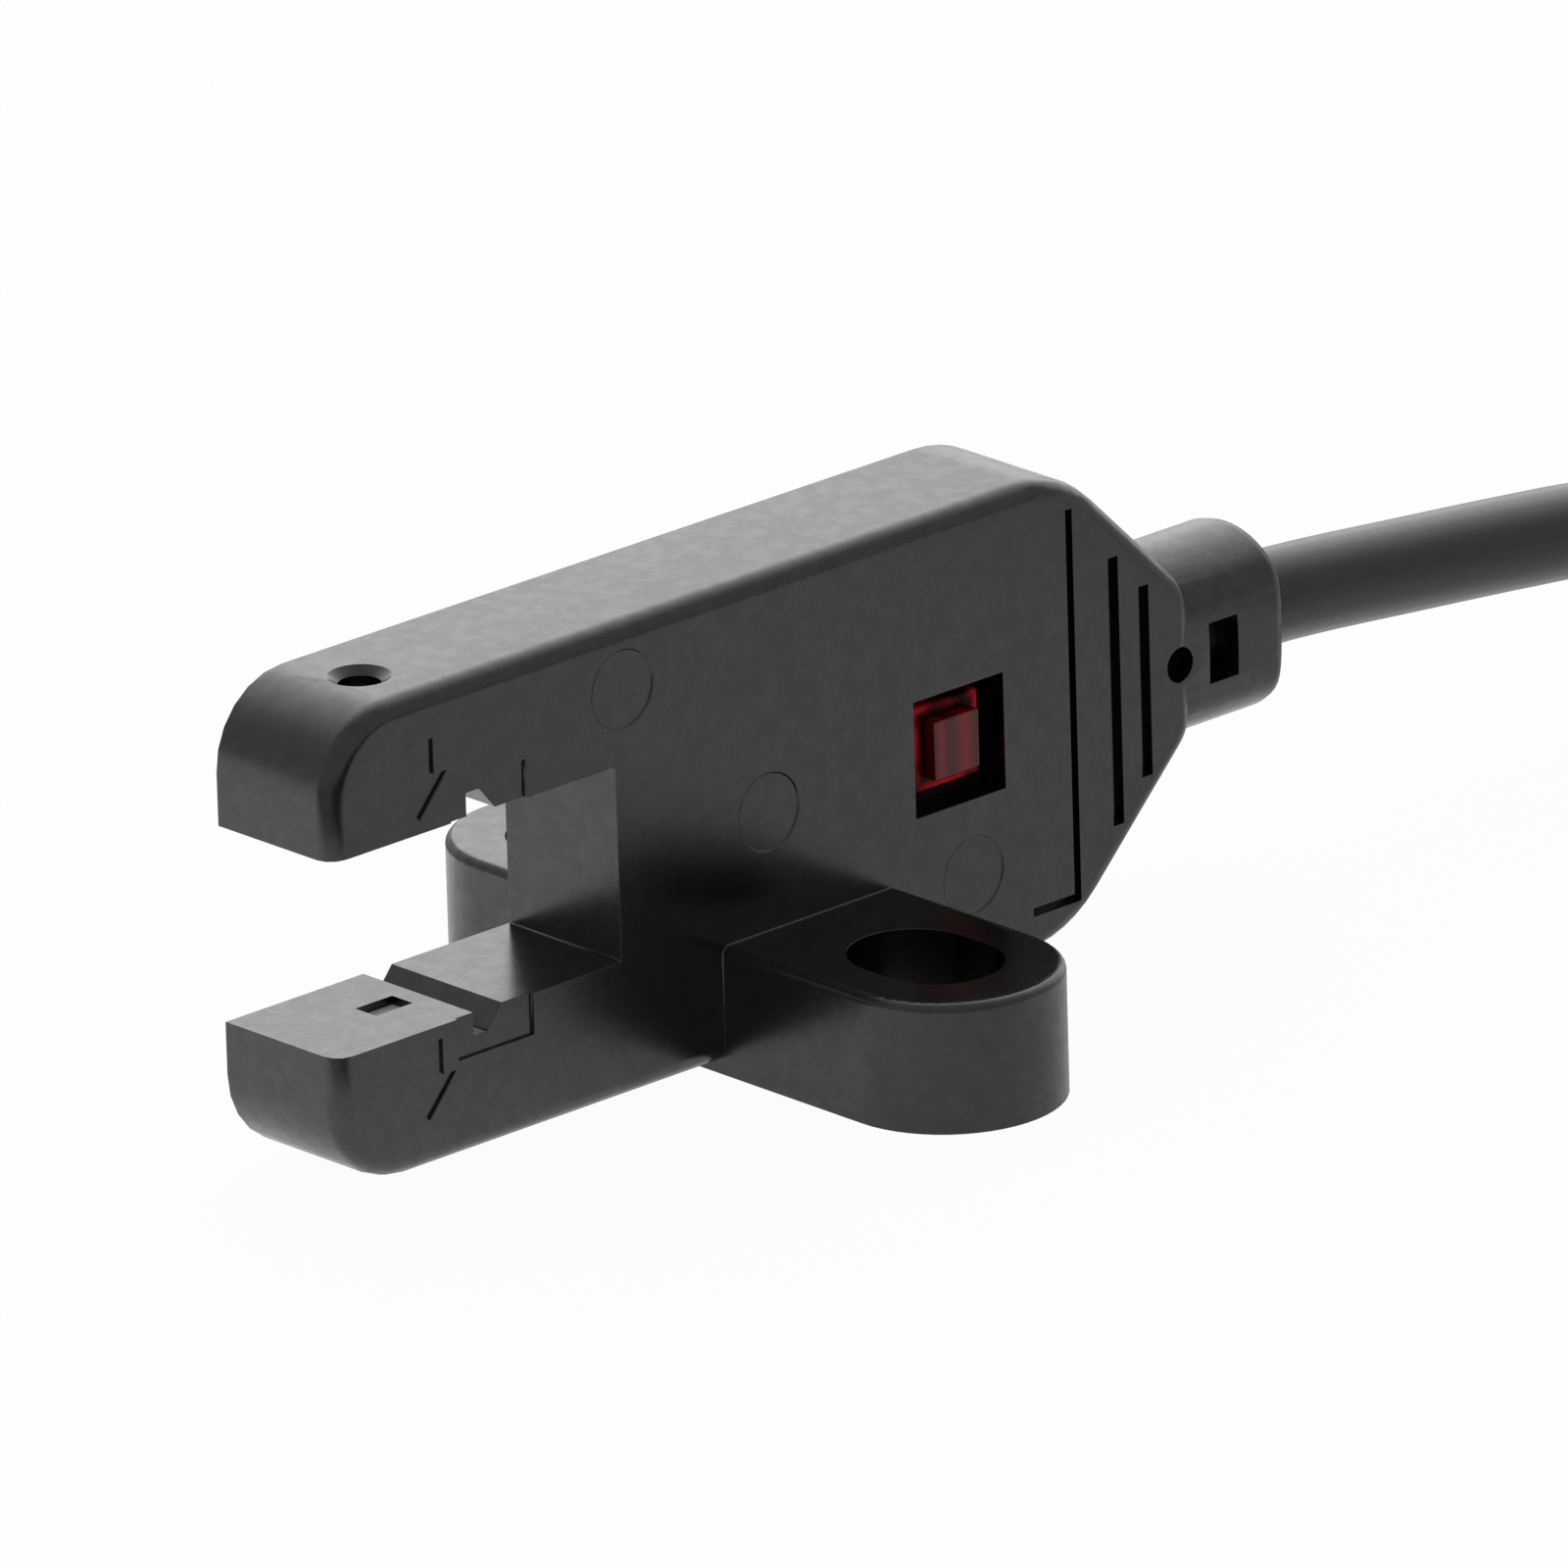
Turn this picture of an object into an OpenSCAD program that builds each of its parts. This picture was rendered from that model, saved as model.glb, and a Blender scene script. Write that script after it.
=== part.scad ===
// Fork sensor: a slim moulded case with two arms, a light beam across the slot
// between them, two slotted mounting ears and a cable on a round collar.
// The origin is midway between the screw slots, on the ears' underside.
// +X points to the cable, +Z up, and the window is on the -Y face.

/* [Case] */
// Thickness of the case from face to face
body_t = 4; // [3.8:0.1:5]
// Clear gap between the two arms
slot_gap = 5; // [4:0.1:8]
// Depth of the slot from the arms' tips
slot_depth = 9.25; // [8:0.05:10]
// Height of each arm
arm_h = 3.55; // [3.4:0.05:5]
// Distance from the arms' tips to the screws
tip_to_screws = 15.45; // [15:0.05:17]
// Distance from the screws to the rear end of the case
screws_to_rear = 13.05; // [12.5:0.05:15]
// Height of the flat rear end between the sloping corners
rear_flat = 3.74; // [3.2:0.02:5]
// Radius of the arms' outer tips
tip_r = 2.2; // [1:0.1:2.6]
// Radius between the long sides and the slopes
shoulder_r = 3.4; // [1:0.1:4]
// Radius between the slopes and the rear end
slope_r = 1.2; // [0.8:0.1:1.6]
// Radius of the edge around the window face
edge_r = 0.5; // [0.2:0.05:0.6]
// Outer wall of the case
wall = 0.7; // [0.6:0.05:0.9]
// Wall behind the window face
face_wall = 0.6; // [0.5:0.05:0.8]
// Wall around the slot
slot_wall = 1.1; // [1:0.05:1.3]

/* [Cover] */
// Thickness of the back cover
cover_t = 0.6; // [0.5:0.05:0.8]
// Width of the ledge that the cover rests on
ledge = 0.25; // [0.15:0.05:0.3]
// Gap between the cover's edge and its pocket
cover_gap = 0.03; // [0.02:0.01:0.06]

/* [Ears] */
// Width of each ear along the case
ear_w = 5.8; // [5:0.1:7]
// Distance over both ears
ear_span = 19.4; // [18.4:0.1:24]
// Height of the ears
ear_h = 3.32; // [2:0.02:3.4]
// Rounding of the ears' upper rim
ear_rim_r = 0.22; // [0.1:0.02:0.4]
// How far the ears' underside stands below the case
foot = 0.3; // [0.1:0.05:0.6]
// Width of a screw slot
screw_slot_w = 3.2; // [2.4:0.1:3.4]
// Length of a screw slot across the case
screw_slot_len = 4.15; // [3.6:0.05:4.4]
// Distance between the screw slots
screw_pitch = 12.15; // [12:0.05:14]

/* [Collar] */
// Diameter of the collar
collar_d = 4.8; // [4:0.02:5]
// Length of the collar behind the case
collar_len = 3.2; // [2.6:0.1:4]
// How far the collar lies above the middle of the case
collar_up = 0.09; // [0:0.01:0.2]
// Rounding of the collar's end
collar_end_r = 0.4; // [0.2:0.05:0.8]

/* [Optics] */
// Distance from the tips to the middle of the slits
slit_from_tip = 3.33; // [3.2:0.01:3.5]
// Length of a slit along the arm
slit_len = 1.2; // [0.9:0.05:1.4]
// Width of a slit across the arm
slit_w = 0.74; // [0.7:0.02:1]
// Length of the emitter and of the receiver
chip_len = 2.6; // [2:0.1:3]
// Height of the emitter and of the receiver
chip_h = 1.55; // [1.2:0.05:1.6]
// Width of the emitter and of the receiver
chip_w = 2.4; // [1.6:0.1:2.5]
// How far their light windows lie below the arms' faces
lens_sunk = 0.2; // [0.1:0.05:0.5]

/* [Window] */
// Distance from the screws to the middle of the window
window_x = 5.1; // [4.6:0.05:5.2]
// Size of the square window hole
window_hole = 3; // [2.6:0.02:3.1]
// Size of the light guide in the hole
guide_size = 1.5; // [1.2:0.05:2]
// How far the light guide lies below the face
guide_sunk = 0.1; // [0.05:0.05:0.3]
// Distance from the guide's front to its wider body
guide_step = 0.4; // [0.2:0.05:0.5]
// Width of the guide's body
guide_body = 2.2; // [2:0.05:2.6]

/* [Face marks] */
// Distance from the tips to the beam arrows
arrow_from_tip = 2.9; // [2.8:0.05:3.2]
// Height of a beam arrow
arrow_h = 1.98; // [1.6:0.02:2.2]
// Depth of the sunk lines
mark_deep = 0.35; // [0.1:0.05:0.4]
// Width of the long marking line
line_w = 0.22; // [0.16:0.02:0.3]
// Width of the two decorative grooves at the rear
rib_w = 0.35; // [0.25:0.05:0.45]
// Distance from the rear end to the long line
line_from_rear = 4.13; // [3.9:0.01:4.3]
// Depth of the cross grooves in the arms
notch_deep = 0.6; // [0.3:0.05:0.7]

/* [Board] */
// Thickness of the circuit board
board_t = 0.6; // [0.4:0.1:0.7]
// Gap between the board and the cover
board_gap = 0.3; // [0.2:0.05:0.35]

/* [Cable] */
// Diameter of the cable
cable_d = 2.4; // [2:0.1:2.5]
// Diameter of one core
core_d = 0.7; // [0.5:0.05:0.75]
// Gap between the cable and the collar's bore
bore_gap = 0.04; // [0.02:0.01:0.06]

/* [Hidden] */

$fn = 64;
thin = 0.01;
over = 1;
arc_steps = 6;

// Levels and stations of the case
body_bot = foot;
lower_in = body_bot + arm_h;
upper_in = lower_in + slot_gap;
body_top = upper_in + arm_h;
axis_z = (body_bot + body_top) / 2;
tip_x = -tip_to_screws;
slot_x = tip_x + slot_depth;
rear_x = screws_to_rear;
cable_z = axis_z + collar_up;
top_shoulder_x = rear_x - (body_top - cable_z - rear_flat / 2);
low_shoulder_x = rear_x - (cable_z - rear_flat / 2 - body_bot);
near_y = -body_t / 2;
far_y = body_t / 2;
inner_y = near_y + face_wall;
cover_y = far_y - cover_t;
ear_end = ear_span / 2;
bridge_gap = 0.15;

// Cover
cover_pad_r = 0.8;

// Optics and cross grooves
slit_x = tip_x + slit_from_tip;
chip_gap = 0.02;
lens_gap = 0.03;
pin_hole_r = 0.53;
pin_rim_r = 0.8;
pin_rim_deep = 0.2;
notch_x = tip_x + 4.48;
notch_w = 0.92;
notch_foot = 0.42;

// Face marks
arrow_gap = 0.34;
arrow_deep = 0.09;
arrow_head_h = 1.05;
arrow_head_w = 1.9;
arrow_shaft_w = 1;
pad_x = tip_x + 3.9;
pad_len = 2.46;
pad_h = 0.97;
low_pad_h = 1.06;
pad_deep = 0.09;
line_margin = 0.92;
rib_margin = 1.1;
line_foot = 1.5;
ribs_from_rear = [line_from_rear - 1.43, line_from_rear - 2.43];
pin_mark_r = 1;
pin_mark_deep = 0.03;
pin_marks = [[slot_x + 4.95, axis_z], [slot_x + 0.3, upper_in + 1.9],
             [window_x + 0.35, lower_in - 0.95]];

// Collar
collar_root = 1.5;
collar_flat_gap = 0.02;
collar_blend = 12;
collar_sides = 64;
bore_r = cable_d / 2 + bore_gap;
collar_end = rear_x + collar_len;
dot_r = 0.45;
dot_from_rear = 0.5;
key_from_rear = 0.53;
key_len = 0.97;
key_h = 1.57;

// Window
frame_wall = 0.5;
frame_deep = 0.3;
flange_edge = 0.4;
flange_t = 0.4;
flange_y = inner_y + frame_deep;

// Board
board_edge = 0.2;
board_far = cover_y - board_gap;
board_near = board_far - board_t;
board_front = slot_x + slot_wall + board_edge;
board_rear = window_x + window_hole / 2 + flange_edge + 0.75;
board_top = body_top - wall - board_edge;
board_low = body_bot + wall + board_edge;
board_step_x = -ear_w / 2 - bridge_gap - ledge - board_edge;
board_step_z = ear_h + bridge_gap + ledge + board_edge;
post_r = 0.55;
post_pin_r = 0.3;
post_gap = 0.05;
posts = [[window_x - 2.5, board_top - 0.9], [board_step_x + 2, board_step_z + 0.9]];

// Legs of the emitter and the receiver, which lie flat on the board
leg_t = 0.25;
leg_on_board = 1;
emitter_leg_w = 0.4;
emitter_leg_z = [upper_in + slot_wall + 0.45, upper_in + slot_wall + 1.15];
receiver_leg_w = 0.3;
receiver_leg_z = [for (k = [0 : 2]) lower_in - slot_wall - 0.4 - 0.5 * k];
joint_t = 0.2;
joint_gap = 0.02;

// Components on the board: places, and sizes along X, along Z and off the board
transistor_at = [-0.2, axis_z + 3];
transistor_size = [2.9, 1.3, 1];
transistor_feet = [[-0.95, -1], [0.95, -1], [0, 1]];
reverse_diode_at = [0.6, axis_z + 0.5];
surge_diode_at = [-1.4, axis_z + 0.5];
diode_size = [1.25, 1.7, 0.9];
diode_feet = [[0, -1], [0, 1]];
foot_size = [0.4, 0.45, 0.15];
resistor_at = [board_front + 1.3, axis_z + 0.2];
resistor_size = [1.6, 0.8, 0.45];
resistor_pitch = 1.3;
capacitor_at = [1.4, board_step_z + 0.6];
capacitor_size = [1.6, 0.8, 0.8];
lamp_size = [1.6, 0.8, 0.55];

// Cores in the case: a square bundle at the jacket, then one row of pads
core_pitch = 0.8;
core_step = 1.3;
core_joint_l = 0.7;
pad_row_x = board_rear - 0.5;
jacket_x = rear_x - 1.6;
core_y = board_near - core_d / 2 - joint_gap;
ring_t = 0.12;
ring_gap = 0.02;
ring_len = 0.7;

// Coil of the length that is put away, with the ties that it stands on
cable_sides = 8;
coil_at = [collar_end + 37.75, -21, 0];
coil_out = 22.2;
coil_in = 8.4;
coil_round = 1;
coil_layers = 4;
tie_t = 0.5;
tie_w = 2.5;
tie_gap = 0.2;
tie_angles = [20, 220];
coil_h = coil_layers * cable_d;

// Fall of the free cable: distance behind the collar, and share of the height that is left
cable_fall = [[0, 1], [1.2, 1], [2.4, 0.983], [3.75, 0.957], [5.75, 0.914], [7.75, 0.872],
              [9.75, 0.8275], [11.95, 0.772], [14.95, 0.66], [17.95, 0.51], [20.95, 0.318],
              [23.95, 0.139], [27.5, 0]];
cable_low = tie_t + cable_d / 2;
cable_route = [for (p = cable_fall) [collar_end + p[0], 0, cable_low + p[1] * (cable_z - cable_low)]];

// Route of the tail around the coil, from its middle
tail_route = [[10, 21.6, 7.9], [13, 20.2, 7.1], [16.2, 18, 5.8], [18.5, 15.6, 4.7], [20.2, 13.4, 3.8],
              [22.8, 8.3, 2.2], [24.2, 3.6, 1.4], [24.5, 0, 1.2]];

// Routes of the four stripped cores on the floor, from the coil's middle, and their bare tips
tip_d = 0.4;
tip_len = 4;
lead_brown_route = [[24.1, -0.12, 1.6], [23.6, -5, 1.2], [22.5, -11, 0.5],
                    [20.8, -17, 0.35], [19, -22, 0.35]];
lead_blue_route = [[24.1, -0.12, 0.8], [23.9, -5, 0.6], [23.6, -11, 0.35],
                   [23, -17, 0.35], [22, -23, 0.35]];
lead_black_route = [[24.9, -0.12, 0.8], [24.9, -5, 0.6], [25, -11, 0.35],
                    [25, -17, 0.35], [24.8, -23, 0.35]];
lead_pink_route = [[24.9, -0.12, 1.6], [25.4, -5, 1.2], [26.2, -11, 0.5],
                   [27.2, -17, 0.35], [28, -22, 0.35]];

function unit(v) = v / norm(v);

// Points of a convex outline, counter-clockwise, from corners [x, z, radius]
function rounded(corners) = [
    for (i = [0 : len(corners) - 1])
        let (n = len(corners),
             before = corners[(i + n - 1) % n],
             here = corners[i],
             after = corners[(i + 1) % n],
             p = [here[0], here[1]],
             r = max(here[2], thin),
             u = unit([before[0], before[1]] - p),
             v = unit([after[0], after[1]] - p),
             half = acos(u * v) / 2,
             c = p + unit(u + v) * r / sin(half),
             s = p + u * r / tan(half) - c,
             a = atan2(s[1], s[0]))
        for (k = [0 : arc_steps])
            let (b = a + (180 - 2 * half) * k / arc_steps)
            c + r * [cos(b), sin(b)]
];

// Corners of the case's outline, all sides moved in by d
function body_corners(d) =
    let (t = d * tan(22.5), flat = rear_flat / 2 - t)
    [[tip_x + d, body_bot + d, tip_r - d],
     [low_shoulder_x - t, body_bot + d, shoulder_r - d],
     [rear_x - d, cable_z - flat, slope_r - d],
     [rear_x - d, cable_z + flat, slope_r - d],
     [top_shoulder_x - t, body_top - d, shoulder_r - d],
     [tip_x + d, body_top - d, tip_r - d]];

// One ring of a tube at p, across the direction t
function ring(p, t, r, n) =
    let (s = unit(cross(t, [0, 0, 1])), w = cross(s, t))
    [for (k = [0 : n - 1]) p + r * (cos(360 * k / n) * s + sin(360 * k / n) * w)];

// Direction of a route at its point i
function heading(route, i) =
    unit(route[min(i + 1, len(route) - 1)] - route[max(i - 1, 0)]);

// A closed skin over rings of equally many points, each counter-clockwise from behind
module skin(rings) {
    n = len(rings[0]);
    sides = [for (i = [0 : len(rings) - 2], k = [0 : n - 1])
        let (a = i * n + k, b = i * n + (k + 1) % n)
        each [[a, b, b + n], [a, b + n, a + n]]];
    caps = [[for (k = [0 : n - 1]) n - 1 - k], [for (k = [0 : n - 1]) (len(rings) - 1) * n + k]];
    polyhedron([for (points = rings) each points], concat(sides, caps));
}

// A round tube along a route
module tube(route, d, n) {
    skin([for (i = [0 : len(route) - 1]) ring(route[i], heading(route, i), d / 2, n)]);
}

// A flat shape in X and Z, thickened from y0 to y1
module slab(y0, y1) {
    translate([0, y1, 0]) rotate([90, 0, 0]) linear_extrude(y1 - y0) children();
}

// A box from corner a to corner b
module block(a, b) {
    translate(a) cube(b - a);
}

// A round bar along Y
module bar_y(x, z, r, y0, y1) {
    translate([x, y0, z]) rotate([-90, 0, 0]) cylinder(r = r, h = y1 - y0);
}

// A round bar along the cable's axis
module bar_x(x0, x1, r) {
    translate([x0, 0, cable_z]) rotate([0, 90, 0]) cylinder(r = r, h = x1 - x0);
}

module outline(d) {
    polygon(rounded(body_corners(d)));
}

module slot_zone(m) {
    translate([tip_x - over, lower_in - m]) square([slot_depth + over + m, slot_gap + 2 * m]);
}

module bridge_zone(m) {
    translate([-ear_w / 2 - m, body_bot - over]) square([ear_w + 2 * m, ear_h - body_bot + over + m]);
}

// Plan of the hollow in the case
module hollow_plan() {
    difference() {
        outline(wall);
        slot_zone(slot_wall);
        bridge_zone(bridge_gap + ledge);
    }
}

// Plan of the cover, all edges moved in by d from its pocket
module cover_plan(d) {
    difference() {
        outline(wall - ledge + d);
        slot_zone(slot_wall - ledge + d);
        bridge_zone(bridge_gap + d);
    }
}

// Outline of the case at the level y, all sides moved in by d
function body_ring(y, d) = [for (p = rounded(body_corners(d))) [p[0], y, p[1]]];

// The case's outer form: the edge is rounded on the window face and sharp at the back
module body_block() {
    near_rings = [for (a = [0 : 30 : 90])
        body_ring(near_y + edge_r * (1 - cos(a)), edge_r * (1 - sin(a)))];
    skin(concat(near_rings, [body_ring(far_y, 0)]));
}

// Outline of the collar at x, moved in by d: a circle that blends into two flats
function collar_ring(x, d) =
    let (round = 1 / (collar_d / 2 - d), flat = 1 / (-near_y - collar_flat_gap - d))
    [for (k = [0 : collar_sides - 1])
        let (a = 360 * k / collar_sides,
             limits = pow(round, collar_blend) + pow(abs(sin(a)) * flat, collar_blend),
             reach = pow(limits, -1 / collar_blend))
        [x, reach * sin(a), cable_z + reach * cos(a)]];

// Collar with a rounded end, flattened level with the case's faces
module collar_block() {
    bend_x = collar_end - collar_end_r;
    end_rings = [for (a = [0 : 30 : 90])
        collar_ring(bend_x + collar_end_r * sin(a), collar_end_r * (1 - cos(a)))];
    skin(concat([collar_ring(rear_x - collar_root, 0)], end_rings));
}

// Half of an ear's section, with the rounded rim
module ear_half() {
    r = ear_w / 2;
    c = ear_rim_r;
    square([r, ear_h - c]);
    square([r - c, ear_h]);
    translate([r - c, ear_h - c]) circle(r = c);
}

// Both ears with round ends, joined under the case
module ears() {
    end_y = ear_end - ear_w / 2;
    for (side = [-1, 1])
        translate([0, side * end_y, 0]) rotate_extrude() ear_half();
    slab(-end_y, end_y) {
        ear_half();
        mirror([1, 0]) ear_half();
    }
}

module screw_slots() {
    reach = (screw_slot_len - screw_slot_w) / 2;
    for (side = [-1, 1]) translate([0, side * screw_pitch / 2, -over]) {
        for (end = [-1, 1])
            translate([0, end * reach, 0]) cylinder(d = screw_slot_w, h = ear_h + 2 * over);
        translate([-screw_slot_w / 2, -reach, 0]) cube([screw_slot_w, 2 * reach, ear_h + 2 * over]);
    }
}

// Groove across the slot side of an arm, cut upwards from z = 0
module notch() {
    slab(near_y - over, far_y + over)
        polygon([[notch_x, -over], [notch_x + notch_w, -over], [notch_x + notch_w, 0],
                 [notch_x + notch_foot, notch_deep], [notch_x, notch_deep], [notch_x, 0]]);
}

// Arrow that points down, its tip at z = 0
module arrow() {
    slab(near_y - over, near_y + arrow_deep)
        polygon([[0, 0], [arrow_head_w / 2, arrow_head_h], [arrow_shaft_w / 2, arrow_head_h],
                 [arrow_shaft_w / 2, arrow_h], [-arrow_shaft_w / 2, arrow_h],
                 [-arrow_shaft_w / 2, arrow_head_h], [-arrow_head_w / 2, arrow_head_h]]);
}

// Sunk upright line at a distance from the rear end, following the slopes
module upright_line(from_rear, w, margin) {
    half = rear_flat / 2 + from_rear - margin;
    x = rear_x - from_rear;
    block([x - w / 2, near_y - over, axis_z - half], [x + w / 2, near_y + mark_deep, axis_z + half]);
}

module face_marks() {
    translate([tip_x + arrow_from_tip, 0, upper_in + arrow_gap]) arrow();
    translate([tip_x + arrow_from_tip, 0, lower_in - arrow_gap - arrow_h]) arrow();
    for (p = [[lower_in - low_pad_h, low_pad_h], [upper_in - thin, pad_h]])
        block([pad_x, near_y - over, p[0]], [pad_x + pad_len, near_y + pad_deep, p[0] + p[1] + thin]);
    upright_line(line_from_rear, line_w, line_margin);
    for (d = ribs_from_rear) upright_line(d, rib_w, rib_margin);
    line_x = rear_x - line_from_rear;
    low = axis_z - rear_flat / 2 - line_from_rear + line_margin;
    block([line_x - line_foot, near_y - over, low], [line_x, near_y + mark_deep, low + line_w]);
    for (p = pin_marks) bar_y(p[0], p[1], pin_mark_r, near_y - over, near_y + pin_mark_deep);
}

// Slits, pin hole and grooves of the two arms
module arm_cuts() {
    block([slit_x - slit_len / 2, -slit_w / 2, lower_in - slot_wall - over],
          [slit_x + slit_len / 2, slit_w / 2, upper_in + slot_wall + over]);
    translate([tip_x + arrow_from_tip, 0, body_top - wall - thin]) {
        cylinder(r = pin_hole_r, h = wall + over);
        translate([0, 0, wall + thin - pin_rim_deep])
            cylinder(r1 = pin_hole_r, r2 = pin_rim_r, h = pin_rim_deep + thin);
    }
    translate([0, 0, upper_in]) notch();
    translate([0, 0, lower_in]) mirror([0, 0, 1]) notch();
}

// Bore of the collar, with the two small holes that reach it from the window face
module collar_cuts() {
    bar_x(rear_x - wall - over, collar_end + over, bore_r);
    bar_y(rear_x - dot_from_rear, cable_z, dot_r, near_y - over, 0);
    block([rear_x + key_from_rear, near_y - over, cable_z - key_h / 2],
          [rear_x + key_from_rear + key_len, 0, cable_z + key_h / 2]);
}

// Square area around the window's middle
module window_square(size) {
    translate([window_x, axis_z]) square(size, center = true);
}

// Round areas at the board's posts
module post_circles(r) {
    for (p = posts) translate(p) circle(r = r);
}

// The hollow, cut from the cover side: it leaves the window's frame and the posts with their pins
module hollow() {
    frame_size = window_hole + 2 * frame_wall;
    slab(inner_y, far_y + over) difference() {
        hollow_plan();
        window_square(frame_size);
        post_circles(post_r);
    }
    slab(flange_y, far_y + over) window_square(frame_size + thin);
    slab(board_near, far_y + over) difference() {
        post_circles(post_r + thin);
        post_circles(post_pin_r);
    }
    slab(board_far, far_y + over) post_circles(post_pin_r + thin);
}

module case() {
    color([0.09, 0.09, 0.1]) difference() {
        union() {
            body_block();
            collar_block();
            ears();
        }
        slab(near_y - over, far_y + over) slot_zone(0);
        hollow();
        slab(cover_y, far_y + over) cover_plan(0);
        slab(near_y - over, flange_y + thin) window_square(window_hole);
        screw_slots();
        arm_cuts();
        face_marks();
        collar_cuts();
    }
}

module back_cover() {
    color([0.1, 0.1, 0.11]) {
        slab(cover_y, far_y) cover_plan(cover_gap);
        for (p = posts) bar_y(p[0], p[1], cover_pad_r, board_far + post_gap, cover_y + thin);
    }
}

module indicator_window() {
    color([0.7, 0.05, 0.08]) {
        slab(flange_y, flange_y + flange_t) window_square(window_hole + 2 * flange_edge);
        slab(near_y + guide_sunk + guide_step, flange_y + thin) window_square(guide_body);
        slab(near_y + guide_sunk, flange_y) window_square(guide_size);
    }
}

module circuit_board() {
    color([0.1, 0.35, 0.2]) difference() {
        slab(board_near, board_far)
            polygon([[board_front, board_low], [board_step_x, board_low], [board_step_x, board_step_z],
                     [board_rear, board_step_z], [board_rear, board_top], [board_front, board_top]]);
        for (p = posts) bar_y(p[0], p[1], post_pin_r + post_gap, board_near - over, board_far + over);
    }
}

// Moulded chip, resting on z = 0, with a flat light window that points down into the slit
module lens_chip() {
    window_l = slit_len - 2 * lens_gap;
    window_w = slit_w - 2 * lens_gap;
    translate([slit_x - chip_len / 2, -chip_w / 2, chip_gap]) cube([chip_len, chip_w, chip_h]);
    translate([slit_x - window_l / 2, -window_w / 2, lens_sunk - slot_wall])
        cube([window_l, window_w, slot_wall - lens_sunk + chip_gap + thin]);
}

module emitter() {
    color([0.75, 0.8, 0.85]) translate([0, 0, upper_in + slot_wall]) lens_chip();
}

module receiver() {
    color([0.7, 0.72, 0.75]) translate([0, 0, lower_in - slot_wall]) mirror([0, 0, 1]) lens_chip();
}

// Flat legs from a chip's rear face on to the board
module legs(levels, w) {
    for (z = levels)
        block([slit_x + chip_len / 2, board_near - leg_t, z - w / 2],
              [board_front + leg_on_board, board_near, z + w / 2]);
}

module emitter_legs() {
    color("silver") legs(emitter_leg_z, emitter_leg_w);
}

module receiver_legs() {
    color("silver") legs(receiver_leg_z, receiver_leg_w);
}

// Component that stands on the board
module on_board(at, size) {
    block([at[0] - size[0] / 2, board_near - size[2], at[1] - size[1] / 2],
          [at[0] + size[0] / 2, board_near, at[1] + size[1] / 2]);
}

module indicator_diode() {
    color("white") on_board([window_x, axis_z], lamp_size);
}

// Moulded component with feet on both sides
module gull_wing(at, size, feet) {
    reach = (size[1] + foot_size[1]) / 2 - thin;
    on_board(at, size);
    for (f = feet) on_board(at + [f[0], f[1] * reach], foot_size);
}

module output_transistor() {
    color([0.1, 0.1, 0.1]) gull_wing(transistor_at, transistor_size, transistor_feet);
}

module reverse_diode() {
    color([0.12, 0.12, 0.12]) gull_wing(reverse_diode_at, diode_size, diode_feet);
}

module surge_diode() {
    color([0.12, 0.12, 0.12]) gull_wing(surge_diode_at, diode_size, diode_feet);
}

module chip_resistors() {
    color([0.15, 0.15, 0.17]) for (k = [-1 : 1])
        on_board(resistor_at + [0, k * resistor_pitch], resistor_size);
}

module chip_capacitor() {
    color([0.65, 0.55, 0.4]) on_board(capacitor_at, capacitor_size);
}

// Pad level of core k on the board
function core_level(k) = axis_z + core_step * (1.5 - k);

// Solder over the end of each leg and in front of each core
module solder_joints() {
    color([0.75, 0.76, 0.78]) {
        for (z = emitter_leg_z) leg_joint(z, emitter_leg_w);
        for (z = receiver_leg_z) leg_joint(z, receiver_leg_w);
        for (k = [0 : 3])
            on_board([pad_row_x - core_joint_l / 2, core_level(k)],
                     [core_joint_l - joint_gap, core_d, core_d]);
    }
}

// Solder that lies on the end of one leg
module leg_joint(z, w) {
    block([board_front + board_edge, board_near - leg_t - joint_t, z - w / 2],
          [board_front + leg_on_board, board_near - leg_t, z + w / 2]);
}

// Core k, from its corner of the bundle to its pad
module core(k, side_y, side_z) {
    z0 = cable_z + side_z * core_pitch / 2;
    z1 = core_level(k);
    y0 = side_y * core_pitch / 2;
    tube([[jacket_x - joint_gap, y0, z0],
          [jacket_x - 0.3, y0, z0],
          [jacket_x - 0.8, y0 * 0.9 + core_y * 0.1, z0 * 0.85 + z1 * 0.15],
          [jacket_x - 1.7, y0 * 0.5 + core_y * 0.5, z0 * 0.5 + z1 * 0.5],
          [jacket_x - 2.5, y0 * 0.1 + core_y * 0.9, z0 * 0.15 + z1 * 0.85],
          [board_rear + 0.1, core_y, z1],
          [pad_row_x, core_y, z1]], core_d, 12);
}

module core_brown() { color([0.35, 0.18, 0.08]) core(0, -1, 1); }
module core_blue() { color([0.1, 0.2, 0.6]) core(1, 1, 1); }
module core_black() { color([0.05, 0.05, 0.05]) core(2, 1, -1); }
module core_pink() { color([0.85, 0.5, 0.55]) core(3, -1, -1); }

// Crimped band on the jacket, behind the rear wall
module clamp_ring() {
    color([0.75, 0.6, 0.3]) difference() {
        bar_x(rear_x - wall - ring_len - ring_gap, rear_x - wall - ring_gap,
              cable_d / 2 + ring_gap + ring_t);
        bar_x(rear_x - wall - ring_len - over, rear_x, cable_d / 2 + ring_gap);
    }
}

module jacket_end() {
    color([0.16, 0.16, 0.17]) bar_x(jacket_x, collar_end, cable_d / 2);
}

module cable() {
    color([0.16, 0.16, 0.17]) tube(cable_route, cable_d, cable_sides);
}

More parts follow.
